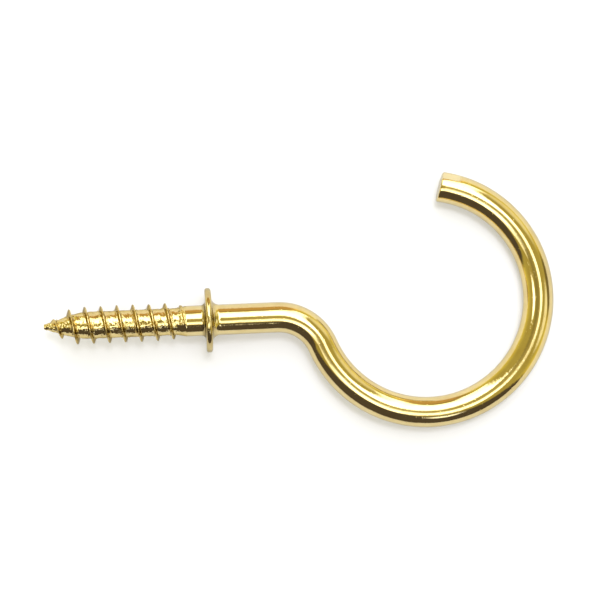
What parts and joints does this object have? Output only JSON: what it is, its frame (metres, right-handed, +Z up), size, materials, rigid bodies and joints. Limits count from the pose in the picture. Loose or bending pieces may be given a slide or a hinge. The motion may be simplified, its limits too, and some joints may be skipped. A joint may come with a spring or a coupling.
{
  "type": "cup hook",
  "caption": "Small brass cup hook: a gimlet-pointed wood screw, a round collar that seats on the shelf, and an open bow, bent from one wire.",
  "frame": {"origin": "on the table the hook lies on, under the middle of its bounding box", "axes": "+X from the screw's point to the bow, +Y to the bow's open side, +Z up from the table; the hook's own plane leans by under 3 degrees, from the collar's rim down to the far side of the bow"},
  "size_m": [0.0467, 0.0234, 0.0059],
  "materials": {
    "brass": "bright polished"
  },
  "bodies": {
    "root": {"cup_hook": "brass"}
  },
  "joints": []
}
